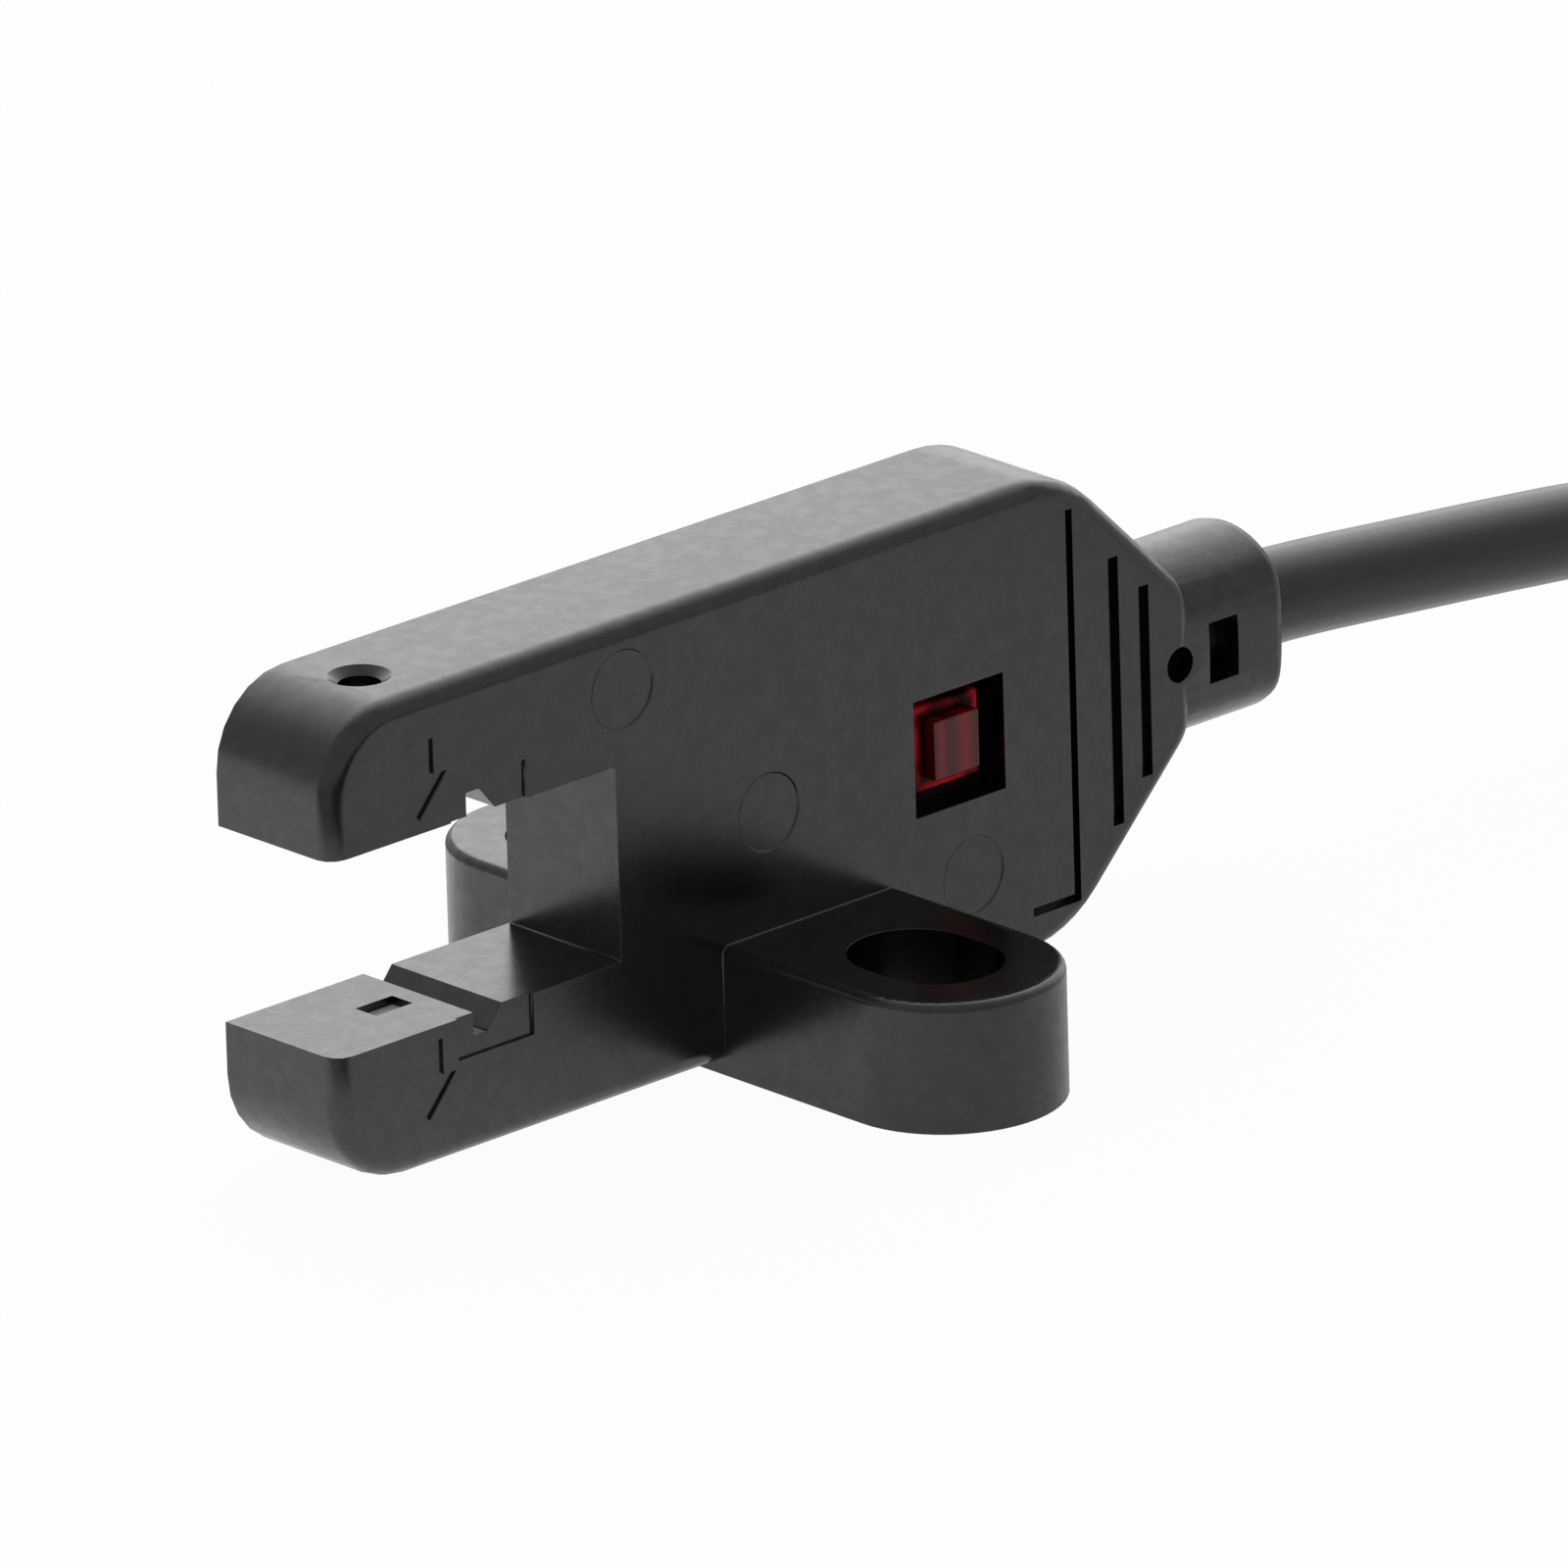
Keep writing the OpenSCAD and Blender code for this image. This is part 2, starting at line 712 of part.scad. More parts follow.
module cable_coil() {
    color([0.16, 0.16, 0.17]) translate(coil_at) rotate_extrude($fn = 96)
        polygon(rounded([[coil_in, tie_t, coil_round], [coil_out, tie_t, coil_round],
                         [coil_out, tie_t + coil_h, coil_round], [coil_in, tie_t + coil_h, coil_round]]));
}

// Flat bands around the coil, which it stands on
module coil_ties() {
    inner = coil_in - tie_gap - tie_t;
    outer = coil_out + tie_gap + tie_t;
    color([0.85, 0.85, 0.83]) for (a = tie_angles)
        translate(coil_at) rotate([0, 0, a]) difference() {
            block([inner, -tie_w / 2, 0], [outer, tie_w / 2, coil_h + 2 * tie_t]);
            block([inner + tie_t, -tie_w, tie_t], [outer - tie_t, tie_w, tie_t + coil_h]);
        }
}

module cable_tail() {
    color([0.16, 0.16, 0.17]) translate(coil_at) tube(tail_route, cable_d, cable_sides);
}

// One stripped core of the cable's end
module lead(route) {
    translate(coil_at) tube(route, core_d, cable_sides);
}

module lead_brown() { color([0.35, 0.18, 0.08]) lead(lead_brown_route); }
module lead_blue() { color([0.1, 0.2, 0.6]) lead(lead_blue_route); }
module lead_black() { color([0.05, 0.05, 0.05]) lead(lead_black_route); }
module lead_pink() { color([0.85, 0.5, 0.55]) lead(lead_pink_route); }

// Bare tinned wire that goes on in line from the end of each core
module lead_tips() {
    routes = [lead_brown_route, lead_blue_route, lead_black_route, lead_pink_route];
    color("silver") translate(coil_at) for (route = routes) {
        last = route[len(route) - 1];
        tube([last, last + tip_len * heading(route, len(route) - 1)], tip_d, cable_sides);
    }
}

case();
back_cover();
indicator_window();
circuit_board();
emitter();
emitter_legs();
receiver();
receiver_legs();
indicator_diode();
output_transistor();
reverse_diode();
surge_diode();
chip_resistors();
chip_capacitor();
solder_joints();
core_brown();
core_blue();
core_black();
core_pink();
clamp_ring();
jacket_end();
cable();
cable_coil();
coil_ties();
cable_tail();
lead_brown();
lead_blue();
lead_black();
lead_pink();
lead_tips();
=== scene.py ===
import math

import bmesh
import bpy
from mathutils import Matrix, Vector


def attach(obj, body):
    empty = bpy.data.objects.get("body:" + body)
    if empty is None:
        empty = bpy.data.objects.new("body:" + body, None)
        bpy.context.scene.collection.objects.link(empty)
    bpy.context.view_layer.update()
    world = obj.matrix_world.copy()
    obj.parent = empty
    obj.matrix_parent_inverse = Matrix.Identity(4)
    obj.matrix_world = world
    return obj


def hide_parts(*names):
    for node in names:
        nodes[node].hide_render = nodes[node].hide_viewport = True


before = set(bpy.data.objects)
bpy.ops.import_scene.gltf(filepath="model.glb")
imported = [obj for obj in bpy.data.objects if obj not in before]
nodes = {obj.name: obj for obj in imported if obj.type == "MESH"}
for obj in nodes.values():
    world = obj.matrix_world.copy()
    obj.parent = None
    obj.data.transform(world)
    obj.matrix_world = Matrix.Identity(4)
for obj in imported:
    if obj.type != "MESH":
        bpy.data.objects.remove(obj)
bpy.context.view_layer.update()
scene = bpy.context.scene
MM = 0.001


# Camera: a long lens from the front left, a little above the sensor, with a slight tilt.
# It stands far away, so the edges of the case run almost parallel.
azimuth, elevation, roll = (math.radians(a) for a in (-42.551, 20.098, -1.678))
target = Vector((1.11, 0, 5.94)) * MM
distance, lens, film_w = 713, 675, 36
near_clip, far_clip = 0.01, 10
back = Vector((math.sin(azimuth) * math.cos(elevation), -math.cos(azimuth) * math.cos(elevation),
               math.sin(elevation)))
right = Vector((math.cos(azimuth), math.sin(azimuth), 0))
up = back.cross(right)
across = right * math.cos(roll) + up * math.sin(roll)
upright = up * math.cos(roll) - right * math.sin(roll)
camera = bpy.data.objects.new("camera", bpy.data.cameras.new("camera"))
scene.collection.objects.link(camera)
camera.data.sensor_width = film_w
camera.data.lens = lens
camera.data.clip_start = near_clip
camera.data.clip_end = far_clip
camera.matrix_world = Matrix.Translation(target + back * distance * MM) @ Matrix(
    (across, upright, back)).transposed().to_4x4()
scene.camera = camera


# Cable: a round dark jacket of soft plastic, extruded around four cores. It leaves the
# collar, falls gently to the floor and goes into a neat coil of four layers. Its tail
# comes off the top of the coil and ends stripped.
exit_point = (16.25, 0, 6.44)
cable_d, cable_sides = 2.4, 32
# Steps of the fall: the distance from the collar, and the share of its height that is left.
fall = ((0, 1), (1.2, 1), (2.4, 0.983), (3.75, 0.957), (5.75, 0.914), (7.75, 0.872),
        (9.75, 0.8275), (11.95, 0.772), (14.95, 0.66), (17.95, 0.51), (20.95, 0.318),
        (23.95, 0.139), (27.5, 0))
on_floor_x = (49.5, 51, 52.5)
coil_at = (54, -21)
coil_out, coil_in = 21, 9.6
layers = (1.7, 4.1, 6.5, 8.9)
climb = 1 / 3
before_coil = 6
tail = ((59.5, 1.1, 8.7), (64, 0.6, 7.9), (67, -0.8, 7.1), (70.2, -3, 5.8), (72.5, -5.4, 4.7),
        (74.2, -7.6, 3.8), (76.8, -12.7, 2.2), (78.2, -17.4, 1.4), (78.5, -21, 1.2))
fall_steps, tail_steps, turn_steps, least_steps = 8, 6, 64, 8
jacket_color, jacket_ior = (0.006, 0.006, 0.0064), 1.68
jacket_rough, jacket_spread = 0.3, 0.05


def smooth(route, steps):
    """Points of a smooth curve through the route."""
    points = [Vector(p) for p in route]
    ends = [2 * points[0] - points[1]] + points + [2 * points[-1] - points[-2]]
    curve = []
    for a, b, c, d in zip(ends, ends[1:], ends[2:], ends[3:]):
        for k in range(steps):
            t = k / steps
            curve.append(b + 0.5 * t * (c - a + t * (2 * a - 5 * b + 4 * c - d
                                                     + t * (3 * (b - c) + d - a))))
    return curve + [points[-1]]


def round_line(name, points, diameter, sides):
    """A curve of one open spline with a round section, in millimetres."""
    data = bpy.data.curves.new(name, "CURVE")
    data.dimensions = "3D"
    data.bevel_depth = diameter / 2 * MM
    data.bevel_resolution = sides // 4 - 1
    data.use_fill_caps = True
    spline = data.splines.new("POLY")
    spline.points.add(len(points) - 1)
    for point, p in zip(spline.points, points):
        point.co = (*(Vector(p) * MM), 1)
    spline.use_smooth = True
    piece = bpy.data.objects.new(name, data)
    scene.collection.objects.link(piece)
    return piece


low = layers[0]
lead = [(exit_point[0] + x, 0, low + left * (exit_point[2] - low)) for x, left in fall]
lead.append((coil_at[0] - before_coil, 0, low))
turns_per_layer = (coil_out - coil_in) / cable_d
coil = []
angle = 0.0
for index, level in enumerate(layers):
    start, end = (coil_out, coil_in) if index % 2 == 0 else (coil_in, coil_out)
    legs = [(turns_per_layer, start, end, level, level)]
    if index + 1 < len(layers):
        legs.append((climb, end, end, level, layers[index + 1]))
    for turns, r0, r1, z0, z1 in legs:
        count = max(least_steps, round(turns * turn_steps))
        for k in range(count):
            t = k / count
            ease = t * t * (3 - 2 * t)
            a = math.radians(90) - 2 * math.pi * (angle + turns * t)
            radius = r0 + (r1 - r0) * t
            coil.append((coil_at[0] + radius * math.cos(a), coil_at[1] + radius * math.sin(a),
                         z0 + (z1 - z0) * ease))
        angle += turns
coil.append((coil_at[0], coil_at[1] + coil_out, layers[-1]))
run = smooth(lead, fall_steps)[:-fall_steps] + [Vector((x, 0, low)) for x in on_floor_x]
run += [Vector(p) for p in coil] + smooth([coil[-1]] + list(tail), tail_steps)[1:]
cable_length = sum((b - a).length for a, b in zip(run, run[1:])) * MM
cable = round_line("cable_jacket", run, cable_d, cable_sides)


class Wire:
    """One output of a shader tree, so that shader maths reads as plain maths."""

    def __init__(self, tree, socket):
        self.tree = tree
        self.socket = socket

    def add(self, kind, inputs=None, output=0, **settings):
        """A new node of any kind, with inputs by name or number, and one of its outputs."""
        node = self.tree.nodes.new(kind)
        for name, value in settings.items():
            setattr(node, name, value)
        for key, value in (inputs or {}).items():
            if isinstance(value, Wire):
                self.tree.links.new(value.socket, node.inputs[key])
            else:
                node.inputs[key].default_value = value
        return Wire(self.tree, node.outputs[output])

    def math(self, operation, a, b):
        return self.add("ShaderNodeMath", {0: a, 1: b}, operation=operation)

    def __add__(self, other):
        return self.math("ADD", self, other)

    def __radd__(self, other):
        return self.math("ADD", other, self)

    def __sub__(self, other):
        return self.math("SUBTRACT", self, other)

    def __rsub__(self, other):
        return self.math("SUBTRACT", other, self)

    def __mul__(self, other):
        return self.math("MULTIPLY", self, other)

    def __rmul__(self, other):
        return self.math("MULTIPLY", other, self)


def finish_of(name, color, roughness, **constants):
    """A material, its Principled node and its object coordinates in metres."""
    material = bpy.data.materials.new(name)
    material.use_nodes = True
    tree = material.node_tree
    shader = tree.nodes["Principled BSDF"]
    shader.inputs["Base Color"].default_value = (*color, 1)
    shader.inputs["Roughness"].default_value = roughness
    for key, value in constants.items():
        shader.inputs[key.replace("_", " ")].default_value = value
    place = tree.nodes.new("ShaderNodeTexCoord")
    return material, shader, Wire(tree, place.outputs["Object"])


def feed(shader, name, wire):
    """An input of a shader that varies from place to place."""
    wire.tree.links.new(wire.socket, shader.inputs[name])


def around(middle, spread, grain):
    """A value that varies with the grain, equally far to both sides of its middle."""
    return middle - spread + grain * (2 * spread)


def paint(piece, material):
    """A piece of this script has one material."""
    piece.data.materials.clear()
    piece.data.materials.append(material)


def dress(node, material):
    """A CAD node keeps its mesh, and only its object's material changes."""
    piece = nodes[node]
    for index in range(max(1, len(piece.material_slots))):
        if not piece.material_slots:
            piece.data.materials.append(None)
        piece.material_slots[index].link = "OBJECT"
        piece.material_slots[index].material = material


jacket, shader, place = finish_of("cable_jacket", jacket_color, jacket_rough, IOR=jacket_ior)
grain = place.add("ShaderNodeTexNoise", {"Vector": place, "Scale": 5000, "Detail": 3})
bump = place.add("ShaderNodeBump", {"Height": grain, "Strength": 0.25, "Distance": 0.00002})
feed(shader, "Normal", bump)
feed(shader, "Roughness", around(jacket_rough, jacket_spread, grain))
paint(cable, jacket)
dress("jacket_end", jacket)
cable.visible_glossy = False
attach(cable, "root")
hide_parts("cable", "cable_coil", "cable_tail")


# Ties of the coil: two flat bands of white nylon. Each is bent round the section of the
# coil with four soft corners, and closed into a loop.
tie_angles = (20, 220)
band_from, band_to, band_top, band_w = 7.7, 22.9, 10.6, 2.5
bend_out, bend_in, bend_steps = 1.5, 1.0, 6
band_edge, band_edge_angle = 0.08, 60
nylon_color, nylon_rough = (0.7, 0.7, 0.67), 0.45


def grained(shader, place, roughness, scale, spread=0.06):
    """Fine grain in the gloss of a plain material."""
    grain = place.add("ShaderNodeTexNoise", {"Vector": place, "Scale": scale})
    feed(shader, "Roughness", around(roughness, spread, grain))


near_x, far_x = band_from + bend_out, band_to - bend_out
low_z, high_z = bend_out, band_top - bend_out
bends = ((far_x, high_z), (near_x, high_z), (near_x, low_z), (far_x, low_z))
corners = ((bend_out, -band_w / 2), (bend_out, band_w / 2), (bend_in, band_w / 2),
           (bend_in, -band_w / 2))
form = bmesh.new()
for turn in tie_angles:
    spin = Matrix.Translation((*coil_at, 0)) @ Matrix.Rotation(math.radians(turn), 4, "Z")
    loops = []
    for radius, y in corners:
        ring = []
        for quarter, (x, z) in enumerate(bends):
            for k in range(bend_steps + 1):
                a = math.radians(90 * (quarter + k / bend_steps))
                point = Vector((x + radius * math.cos(a), y, z + radius * math.sin(a)))
                ring.append(form.verts.new(spin @ point * MM))
        loops.append(ring)
    for ring, beside in zip(loops, loops[1:] + loops[:1]):
        for k in range(len(ring)):
            form.faces.new((ring[k - 1], ring[k], beside[k], beside[k - 1])).smooth = True
bmesh.ops.recalc_face_normals(form, faces=form.faces)
bands_mesh = bpy.data.meshes.new("coil_bands")
form.to_mesh(bands_mesh)
form.free()
bands = bpy.data.objects.new("coil_bands", bands_mesh)
scene.collection.objects.link(bands)
soft = bands.modifiers.new("edges", "BEVEL")
soft.width = band_edge * MM
soft.segments = 2
soft.angle_limit = math.radians(band_edge_angle)
bands.modifiers.new("even", "WEIGHTED_NORMAL")
nylon, shader, place = finish_of("tie_white", nylon_color, nylon_rough)
grained(shader, place, nylon_rough, 4000)
paint(bands, nylon)
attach(bands, "root")
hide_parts("coil_ties")


# Stripped cores at the end of the cable: copper strands in brown, blue, black and pink
# plastic, fanned out on the floor. Their tinned tips are bare.
end_at = Vector((*coil_at, 0))
core_d, core_sides, core_steps, core_rough = 0.7, 16, 6, 0.42
cores = {
    "brown": ((0.1, 0.035, 0.015), ((24.1, -0.12, 1.6), (23.6, -5, 1.2), (22.5, -11, 0.5),
                                    (20.8, -17, 0.35), (19, -22, 0.35))),
    "blue": ((0.015, 0.05, 0.35), ((24.1, -0.12, 0.8), (23.9, -5, 0.6), (23.6, -11, 0.35),
                                   (23, -17, 0.35), (22, -23, 0.35))),
    "black": ((0.012, 0.012, 0.012), ((24.9, -0.12, 0.8), (24.9, -5, 0.6), (25, -11, 0.35),
                                      (25, -17, 0.35), (24.8, -23, 0.35))),
    "pink": ((0.7, 0.25, 0.3), ((24.9, -0.12, 1.6), (25.4, -5, 1.2), (26.2, -11, 0.5),
                                (27.2, -17, 0.35), (28, -22, 0.35))),
}
for name, (color, route) in cores.items():
    insulation, shader, place = finish_of("core_" + name, color, core_rough)
    grained(shader, place, core_rough, 3000)
    points = [p + end_at for p in smooth(route, core_steps)]
    piece = round_line("stripped_" + name, points, core_d, core_sides)
    paint(piece, insulation)
    dress("core_" + name, insulation)
    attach(piece, "root")
    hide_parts("lead_" + name)


# Case: one hollow moulding of black plastic, satin from the mould, with a flush cover at
# the back. Its outer edges are crisp, and the inner corners at the ears and in the slot
# hold a fine fillet. The rims of the ears and the end of the collar are duller from wear.
fillet_r, crisp_r, edge_rows = 0.04, 0.012, 3
face_y, hollow_y, corner_len = 1.97, 1.45, 3.5
weld, flat_angle, edge_angle = 2e-7, math.radians(1), math.radians(35)
plastic_color, plastic_ior = (0.001, 0.001, 0.0011), 1.72
plastic_rough, plastic_spread = 0.24, 0.05
# Haze of handling: its own roughness, its range in the noise, and its most.
haze_rough, haze_from, haze_to, haze_most = 0.3, 0.43, 0.6, 0.2
case_half, ear_y, ear_top, collar_end = 2, (2.05, 2.3), (3.4, 3.33), (15.85, 16.1)
rim_from, rim_to = (0.02, 0.2), (0.99, 0.93)
near_wear, far_wear, end_wear = 0.12, 0.4, 0.4
shell_mesh = nodes["case"].data.copy()
form = bmesh.new()
form.from_mesh(shell_mesh)
bmesh.ops.remove_doubles(form, verts=form.verts, dist=weld)
bmesh.ops.dissolve_limit(form, angle_limit=flat_angle, verts=form.verts, edges=form.edges)
weight = form.edges.layers.float.new("bevel_weight_edge")
for face in form.faces:
    face.smooth = True
for edge in form.edges:
    if len(edge.link_faces) != 2 or edge.calc_face_angle() < edge_angle:
        continue
    reach = [abs(v.co.y) / MM for v in edge.verts]
    if max(reach) < hollow_y:
        edge.smooth = False
    elif edge.is_convex:
        edge[weight] = crisp_r / fillet_r
    elif edge.calc_length() > corner_len * MM or min(reach) > face_y:
        edge[weight] = 1
    else:
        edge.smooth = False
form.to_mesh(shell_mesh)
form.free()
shell = bpy.data.objects.new("case_shell", shell_mesh)
scene.collection.objects.link(shell)
edges = shell.modifiers.new("edges", "BEVEL")
edges.width = fillet_r * MM
edges.segments = edge_rows
edges.limit_method = "WEIGHT"
edges.use_clamp_overlap = False
even = shell.modifiers.new("even", "WEIGHTED_NORMAL")
even.keep_sharp = True


def share(value, low_end, high_end):
    """0 at one end of a range and 1 at the other, with soft ends."""
    return value.add("ShaderNodeMapRange",
                     {"Value": value, "From Min": low_end, "From Max": high_end},
                     interpolation_type="SMOOTHSTEP")


def axis_of(vector, axis):
    """One axis of a vector."""
    return vector.add("ShaderNodeSeparateXYZ", {0: vector}, output=axis)


def size_of(value):
    """A value without its sign."""
    return value.math("ABSOLUTE", value, 0)


plastic, shader, place = finish_of("case_plastic", plastic_color, plastic_rough, IOR=plastic_ior,
                                   Coat_Roughness=haze_rough)
grain = place.add("ShaderNodeTexNoise", {"Vector": place, "Scale": 9000, "Detail": 4})
bump = place.add("ShaderNodeBump", {"Height": grain, "Strength": 0.15, "Distance": 0.00001})
feed(shader, "Normal", bump)
tilt = axis_of(place.add("ShaderNodeNewGeometry", output="Normal"), "Z")
aside = axis_of(place, "Y")
on_ear = (share(size_of(aside), ear_y[0] * MM, ear_y[1] * MM)
          * share(axis_of(place, "Z"), ear_top[0] * MM, ear_top[1] * MM))
on_rim = on_ear * share(tilt, *rim_from) * share(tilt, *rim_to)
far_side = share(aside, -case_half * MM, case_half * MM)
on_end = share(axis_of(place, "X"), collar_end[0] * MM, collar_end[1] * MM)
worn = on_rim * (near_wear + far_side * (far_wear - near_wear)) + on_end * end_wear
feed(shader, "Roughness", around(plastic_rough, plastic_spread, grain) + worn)
handled = place.add("ShaderNodeTexNoise", {"Vector": place, "Scale": 2200, "Detail": 7,
                                           "Roughness": 0.7})
feed(shader, "Coat Weight", share(handled, haze_from, haze_to) * haze_most)
paint(shell, plastic)
dress("back_cover", plastic)
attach(shell, "root")
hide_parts("case")


# Window: a light guide of clear red plastic in a square hole of the case, held by a wider
# plate inside. Its front end is narrower than its body. The light inside it is painted light:
# the body's rim and two streaks on the front are painted a brighter red in the base colour.
guide_at = (5.1, 6.35)
front_size, front_y, front_edge = 1.5, (-1.9, -1.5), 0.04
body_size, body_y, body_edge = 2.2, (-1.5, -1.1), 0.08
plate_size, plate_y, plate_edge = 3.8, (-1.1, -0.7), 0.04
# Middle and half width of each painted streak of light, and where the painted glow of the body's
# rim starts and ends.
streaks, streak_soft = ((4.6, 0.17), (5.36, 0.34)), 1.2
rim_in, rim_out = body_size / 2 - 0.3, body_size / 2 - 0.05
patch_from, patch_to = 0.3, 0.65
deep_red, plate_red = (0.02, 0.001, 0.001), (0.01, 0.0006, 0.0008)
front_rough, body_rough, plate_rough = 0.15, 0.3, 0.6
front_dark, front_lit = (0.08, 0.002, 0.002), (0.24, 0.002, 0.003)
rim_lit = (0.75, 0.02, 0.035)


def square_box(name, size, y, edge):
    """A closed square block around the guide's axis, with rounded edges, in millimetres."""
    mesh = bpy.data.meshes.new(name)
    form = bmesh.new()
    bmesh.ops.create_cube(form, size=1)
    for v in form.verts:
        v.co = ((guide_at[0] + v.co.x * size) * MM, (y[0] + (v.co.y + 0.5) * (y[1] - y[0])) * MM,
                (guide_at[1] + v.co.z * size) * MM)
    form.to_mesh(mesh)
    form.free()
    piece = bpy.data.objects.new(name, mesh)
    scene.collection.objects.link(piece)
    rounded = piece.modifiers.new("edges", "BEVEL")
    rounded.width = edge * MM
    rounded.segments = 3
    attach(piece, "root")
    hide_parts("indicator_window")
    return piece


def blend(amount, color, other):
    """One colour where the amount is 0, and the other where it is 1."""
    return amount.add("ShaderNodeMix", {0: amount, 6: (*color, 1), 7: (*other, 1)}, output=2,
                      data_type="RGBA")


front_red, shader, place = finish_of("guide_front", deep_red, front_rough, IOR=1.49,
                                     Specular_IOR_Level=0.45)
# Painted light: two streaks of brighter red in the base colour of the front, standing in for light
# seen inside the guide.
glow = 0
for middle, half in streaks:
    off = size_of(axis_of(place, "X") - middle * MM)
    glow = glow + share(off, half * streak_soft * MM, 0)
feed(shader, "Base Color", blend(glow, front_dark, front_lit))
paint(square_box("light_guide", front_size, front_y, front_edge), front_red)

body_red, shader, place = finish_of("guide_body", deep_red, body_rough, Specular_IOR_Level=0.06)
off_x, off_z = (size_of(axis_of(place, axis) - middle * MM) for axis, middle in zip("XZ", guide_at))
# Painted light: the rim of the body is painted a bright red in patches, as if light left the guide
# there.
patches = place.add("ShaderNodeTexNoise", {"Vector": place, "Scale": 1100, "Detail": 1})
rim = share(off_x.math("MAXIMUM", off_x, off_z), rim_in * MM, rim_out * MM)
feed(shader, "Base Color", blend(rim * share(patches, patch_from, patch_to), deep_red, rim_lit))
paint(square_box("guide_body", body_size, body_y, body_edge), body_red)

dark_red, shader, place = finish_of("guide_plate", plate_red, plate_rough, Specular_IOR_Level=0.2)
grained(shader, place, plate_rough, 3000)
paint(square_box("guide_plate", plate_size, plate_y, plate_edge), dark_red)


# Lenses of the emitter and the receiver: blocks of clear epoxy, cast around the chips. They
# stand behind the slits of the arms.
epoxy_color, epoxy_dark, epoxy_pale = (0.55, 0.58, 0.62), (0.5, 0.53, 0.58), (0.6, 0.63, 0.66)
epoxy_rough, epoxy_spread = 0.08, 0.03
epoxy, shader, place = finish_of("clear_epoxy", epoxy_color, epoxy_rough)
flow = place.add("ShaderNodeTexNoise", {"Vector": place, "Scale": 2500, "Detail": 2})
feed(shader, "Roughness", around(epoxy_rough, epoxy_spread, flow))
feed(shader, "Base Color", blend(flow, epoxy_dark, epoxy_pale))
dress("emitter", epoxy)
dress("receiver", epoxy)


# Circuit board, its soldered components and the crimped ring of the cable. The case and
# its cover close them in. The legs and the bare tips of the cores are tinned.
for name, color, roughness, metal, wearers in (
        ("board_green", (0.02, 0.16, 0.06), 0.3, 0, ("circuit_board",)),
        ("white_resin", (0.8, 0.8, 0.76), 0.3, 0, ("indicator_diode",)),
        ("chip_black", (0.02, 0.02, 0.02), 0.5, 0,
         ("output_transistor", "reverse_diode", "surge_diode", "chip_resistors")),
        ("ceramic_tan", (0.4, 0.3, 0.18), 0.5, 0, ("chip_capacitor",)),
        ("solder", (0.55, 0.56, 0.58), 0.3, 1, ("solder_joints",)),
        ("tinned_metal", (0.6, 0.6, 0.6), 0.3, 1, ("emitter_legs", "receiver_legs", "lead_tips")),
        ("clamp_brass", (0.6, 0.42, 0.16), 0.35, 1, ("clamp_ring",))):
    material, shader, place = finish_of(name, color, roughness, Metallic=metal)
    grained(shader, place, roughness, 4000)
    for node in wearers:
        dress(node, material)


# Floor: a plain white sheet under the sensor, which keeps a soft shadow of it. In reflections
# it carries painted shade: it is dimmer in front of the sensor, apart from the place below the
# collar.
floor_size, floor_color, floor_rough = 6, (0.9, 0.9, 0.9), 0.8
collar_x, collar_y = (0.008, 0.014), (-0.006, 0)
front_from, front_to, front_dim = -0.02, 0.02, 0.36
far_way, far_from, far_to, far_dim = (-0.68, -0.73), 0.016, 0.034, 0.75
white_seen, white_mirrored = 0.96, 0.75
bpy.ops.mesh.primitive_plane_add(size=floor_size, location=(0, 0, 0))
floor = bpy.context.object
floor.name = "floor"
sheet, shader, place = finish_of("floor", floor_color, floor_rough, Specular_IOR_Level=0.1)
rays = place.add("ShaderNodeLightPath", output="Is Camera Ray")
glossy = place.add("ShaderNodeLightPath", output="Is Glossy Ray")
through = place.add("ShaderNodeLightPath", output="Is Transmission Ray")
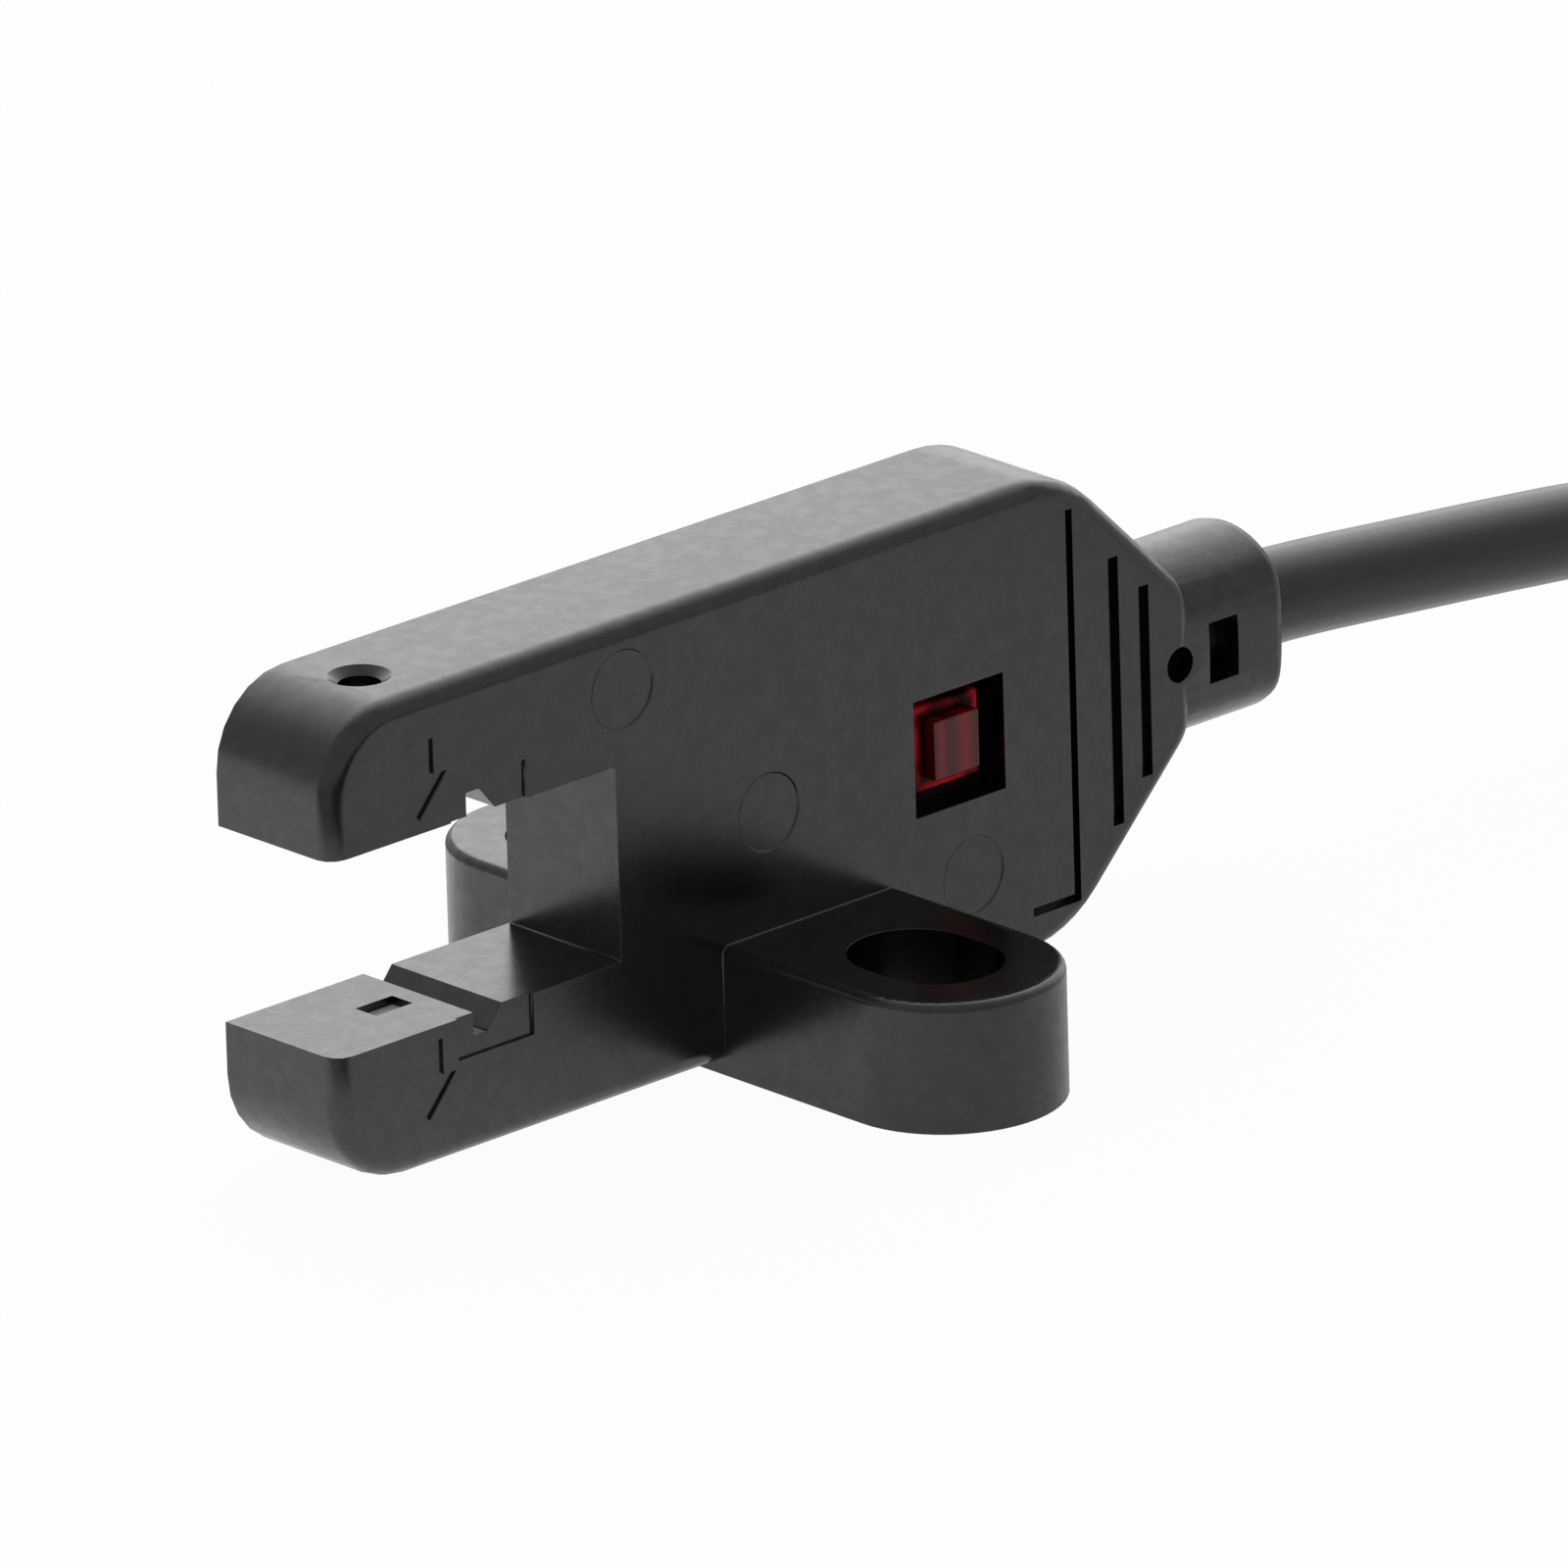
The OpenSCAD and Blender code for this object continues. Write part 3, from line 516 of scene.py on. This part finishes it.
side, depth = axis_of(place, "X"), axis_of(place, "Y")
below = share(side, *collar_x) * share(depth, *collar_y)
front = share(side - depth, front_from, front_to) * (1 - below)
far_front = share(side * far_way[0] + depth * far_way[1], far_from, far_to)
# Painted shade: for rays other than camera rays, the floor's white is dimmed in front of the sensor
# and further out to the front.
strength = 1 - (front * front_dim + far_front * far_dim) * (1 - rays)
white = place.add("ShaderNodeEmission", {"Color": (1, 1, 1, 1), "Strength": strength})
amount = rays * white_seen + (glossy + through) * white_mirrored
surface = Wire(place.tree, shader.outputs[0])
mixed = place.add("ShaderNodeMixShader", {0: amount, 1: surface, 2: white})
feed(place.tree.nodes["Material Output"], "Surface", mixed)
paint(floor, sheet)


# Room: plain white behind the sensor where the camera sees it. For the light on the sensor
# it is brightest around the soft box.
bright_way, bright_from, bright_to = Vector((0.62, 0.67, 0.41)), 0.35, 1.0
room_level, room_gain = 0.42, 1.06
world = bpy.data.worlds.new("room")
scene.world = world
world.use_nodes = True
tree = world.node_tree
direction = Wire(tree, tree.nodes.new("ShaderNodeTexCoord").outputs["Generated"])
facing = direction.add("ShaderNodeVectorMath", {0: direction, 1: bright_way}, output="Value",
                       operation="DOT_PRODUCT")
seen = direction.add("ShaderNodeLightPath", output="Is Camera Ray")
level = room_level + share(facing, bright_from, bright_to) * room_gain
feed(tree.nodes["Background"], "Strength", level * (1 - seen) + seen)
tree.nodes["Background"].inputs["Color"].default_value = (1, 1, 1, 1)


# Soft box: one wide lamp behind the sensor and to the right, turned to it. Its reflection
# lights the upper faces.
box_at, box_size, box_power = Vector((0.58, 0.62, 0.4)), (0.9, 0.55), 0.61
lamp = bpy.data.objects.new("back_box", bpy.data.lights.new("back_box", "AREA"))
lamp.data.shape = "RECTANGLE"
lamp.data.size, lamp.data.size_y = box_size
lamp.data.energy = box_power
lamp.location = box_at
lamp.rotation_euler = (box_at - target).to_track_quat("Z", "Y").to_euler()
scene.collection.objects.link(lamp)

scene.view_settings.view_transform = "Standard"
